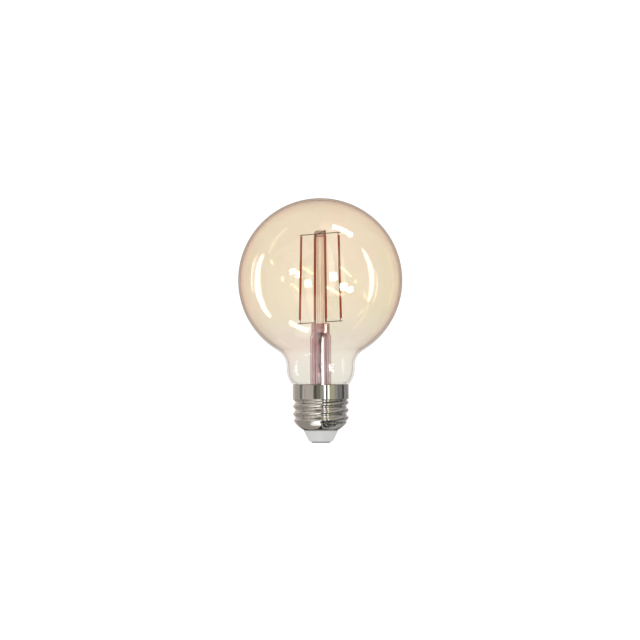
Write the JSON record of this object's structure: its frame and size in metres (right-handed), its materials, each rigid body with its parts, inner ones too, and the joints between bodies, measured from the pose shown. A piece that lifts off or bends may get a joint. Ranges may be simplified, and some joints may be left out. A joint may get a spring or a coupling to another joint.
{
  "type": "smart light bulb",
  "caption": "Globe-shaped smart filament light bulb with an amber glass envelope, a wireless driver in its screw base and a screw shell.",
  "frame": {"origin": "middle of the centre contact's flat underside, on the bulb's axis", "axes": "+Z along the bulb's axis from the contact up to the globe's crown; -Y is the front; +X is right, seen from the front"},
  "size_m": [0.078, 0.078, 0.1162],
  "materials": {
    "amber_glass": "clear, thin amber-tinted glass with a faint iridescent coating, glossy",
    "stem_glass": "clear lead-free glass, glossy",
    "nickel": "nickel plated, glossy, slightly uneven from thread rolling",
    "cement": "matte white basing cement",
    "insulator": "off-white moulded insulator, satin",
    "contact_metal": "plated steel, satin",
    "support_wire": "bare nickel-iron wire, oxidised",
    "phosphor_coat": "orange-brown phosphor silicone, satin",
    "filament_glass": "clear glass strip",
    "led_chip": "blue LED die",
    "tab_metal": "tinned steel tab",
    "sleeve_plastic": "white moulded plastic",
    "board_green": "green solder mask on glass-fibre board",
    "copper": "bare or enamelled copper",
    "can_aluminium": "aluminium can",
    "black_rubber": "black rubber bung",
    "tinned_wire": "tinned copper wire",
    "ferrite": "dark grey ferrite",
    "varistor_blue": "blue epoxy coating",
    "film_red": "red-brown epoxy coating",
    "fuse_ceramic": "green lacquered ceramic",
    "chip_black": "black moulded epoxy",
    "chip_part": "ceramic chip parts with tinned ends",
    "crystal_metal": "metal lid",
    "wire_jacket": "red insulation",
    "solder": "tin solder"
  },
  "bodies": {
    "root": {"antenna_trace": "copper", "arbor_bead": "stem_glass", "arbor_rod": "stem_glass", "basing_cement": "cement", "bridge_rectifier": "chip_black", "cap_insulator": "insulator", "capacitor_bung": "black_rubber", "capacitor_can": "can_aluminium", "capacitor_leads": "tinned_wire", "centre_contact": "contact_metal", "chip_parts": "chip_part", "chip_pins": "tinned_wire", "choke_core": "ferrite", "choke_winding": "copper", "driver_board": "board_green", "driver_ic": "chip_black", "driver_sleeve": "sleeve_plastic", "exhaust_tube": "stem_glass", "filament_chips_1": "led_chip", "filament_chips_2": "led_chip", "filament_chips_3": "led_chip", "filament_chips_4": "led_chip", "filament_coat_1": "phosphor_coat", "filament_coat_2": "phosphor_coat", "filament_coat_3": "phosphor_coat", "filament_coat_4": "phosphor_coat", "filament_substrate_1": "filament_glass", "filament_substrate_2": "filament_glass", "filament_substrate_3": "filament_glass", "filament_substrate_4": "filament_glass", "filament_tabs_1": "tab_metal", "filament_tabs_2": "tab_metal", "filament_tabs_3": "tab_metal", "filament_tabs_4": "tab_metal", "film_capacitor": "film_red", "fuse_lead": "tinned_wire", "fuse_resistor": "fuse_ceramic", "glass_envelope": "amber_glass", "lead_wire_left": "support_wire", "lead_wire_right": "support_wire", "live_wire": "wire_jacket", "lower_support_wire_left": "support_wire", "lower_support_wire_right": "support_wire", "mosfet": "chip_black", "neutral_solder": "solder", "neutral_wire": "tinned_wire", "radio_board": "board_green", "radio_chip": "chip_black", "radio_crystal": "crystal_metal", "screw_shell": "nickel", "stem_tube": "stem_glass", "upper_support_wire_1": "support_wire", "upper_support_wire_2": "support_wire", "varistor": "varistor_blue"}
  },
  "joints": []
}
